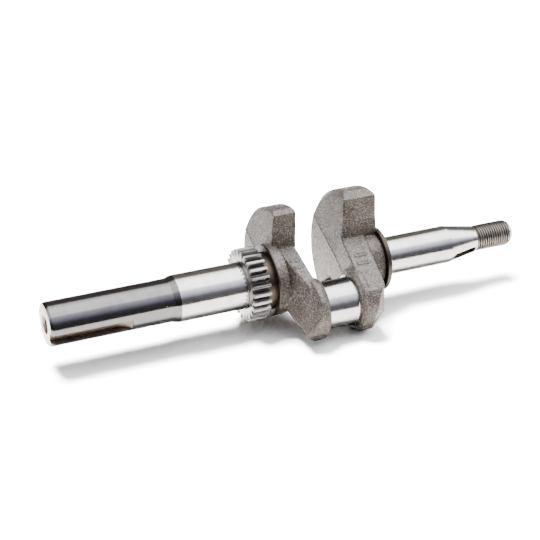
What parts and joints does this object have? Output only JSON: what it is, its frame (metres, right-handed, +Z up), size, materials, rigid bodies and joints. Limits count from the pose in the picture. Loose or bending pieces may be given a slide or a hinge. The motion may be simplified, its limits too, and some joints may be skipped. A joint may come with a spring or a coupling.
{
  "type": "forged crankshaft",
  "caption": "Small-engine crankshaft with counterweighted webs, crankpin, timing gear, keyed tapped drive end, and keyed taper with a threaded end.",
  "frame": {"origin": "on the main axis, in the middle of the crankpin", "axes": "+X along the main axis towards the flywheel end; +Z up as the part lies on its side on a bench; +Y towards the counterweights"},
  "size_m": [0.2953, 0.0875, 0.0731],
  "materials": {
    "forged_steel": "as forged, shot blasted",
    "turned_steel": "turned",
    "ground_steel": "ground and polished",
    "gear_steel": "hobbed",
    "key_steel": "bright drawn"
  },
  "bodies": {
    "root": {"pto_shaft": "turned_steel", "pto_journal": "ground_steel", "timing_gear": "gear_steel", "timing_gear_key": "key_steel", "pto_web": "forged_steel", "crankpin": "ground_steel", "flywheel_web": "forged_steel", "thrust_flange": "turned_steel", "flywheel_journal": "ground_steel", "flywheel_taper": "ground_steel", "threaded_end": "turned_steel"}
  },
  "joints": []
}
